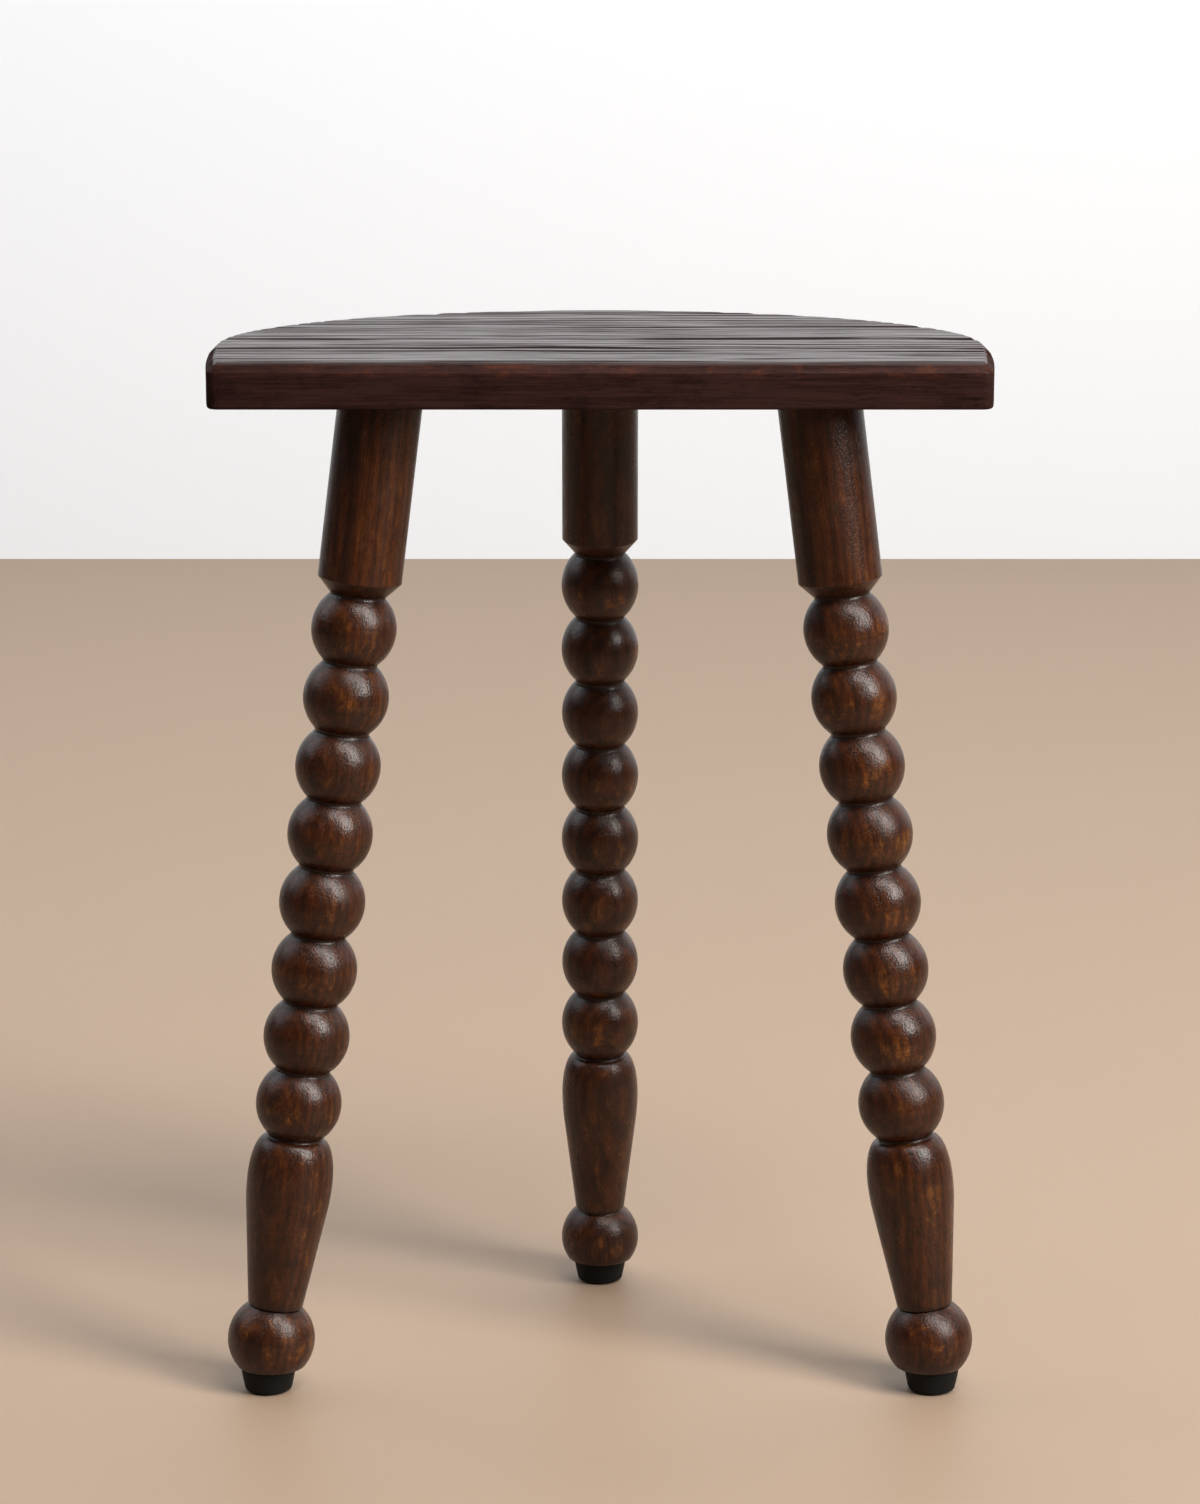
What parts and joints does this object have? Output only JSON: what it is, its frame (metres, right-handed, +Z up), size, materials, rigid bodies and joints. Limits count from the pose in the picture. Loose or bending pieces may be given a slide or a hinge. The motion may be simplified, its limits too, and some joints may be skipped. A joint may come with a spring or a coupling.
{
  "type": "three-legged half-round stool",
  "caption": "Half-round wooden stool or side table with a chamfered brushed board, splayed bobbin-turned legs and black rubber feet.",
  "frame": {"origin": "on the floor, in the middle of the bounding box", "axes": "+Z up; the straight edge of the board faces -Y and the curved side with the single leg faces +Y; +X to the right when facing the straight edge"},
  "size_m": [0.408, 0.2219, 0.561],
  "materials": {
    "board_wood": "dark walnut stain under satin lacquer, brushed open grain on top",
    "leg_wood": "walnut stain under satin lacquer, darker in the necks",
    "foot_rubber": "matte black moulded rubber",
    "screw_steel": "zinc-plated"
  },
  "bodies": {
    "root": {"seat_board": "board_wood", "left_leg": "leg_wood", "right_leg": "leg_wood", "rear_leg": "leg_wood", "left_foot_pad": "foot_rubber", "right_foot_pad": "foot_rubber", "rear_foot_pad": "foot_rubber", "left_foot_washer": "screw_steel", "right_foot_washer": "screw_steel", "rear_foot_washer": "screw_steel", "left_foot_screw": "screw_steel", "right_foot_screw": "screw_steel", "rear_foot_screw": "screw_steel"}
  },
  "joints": []
}
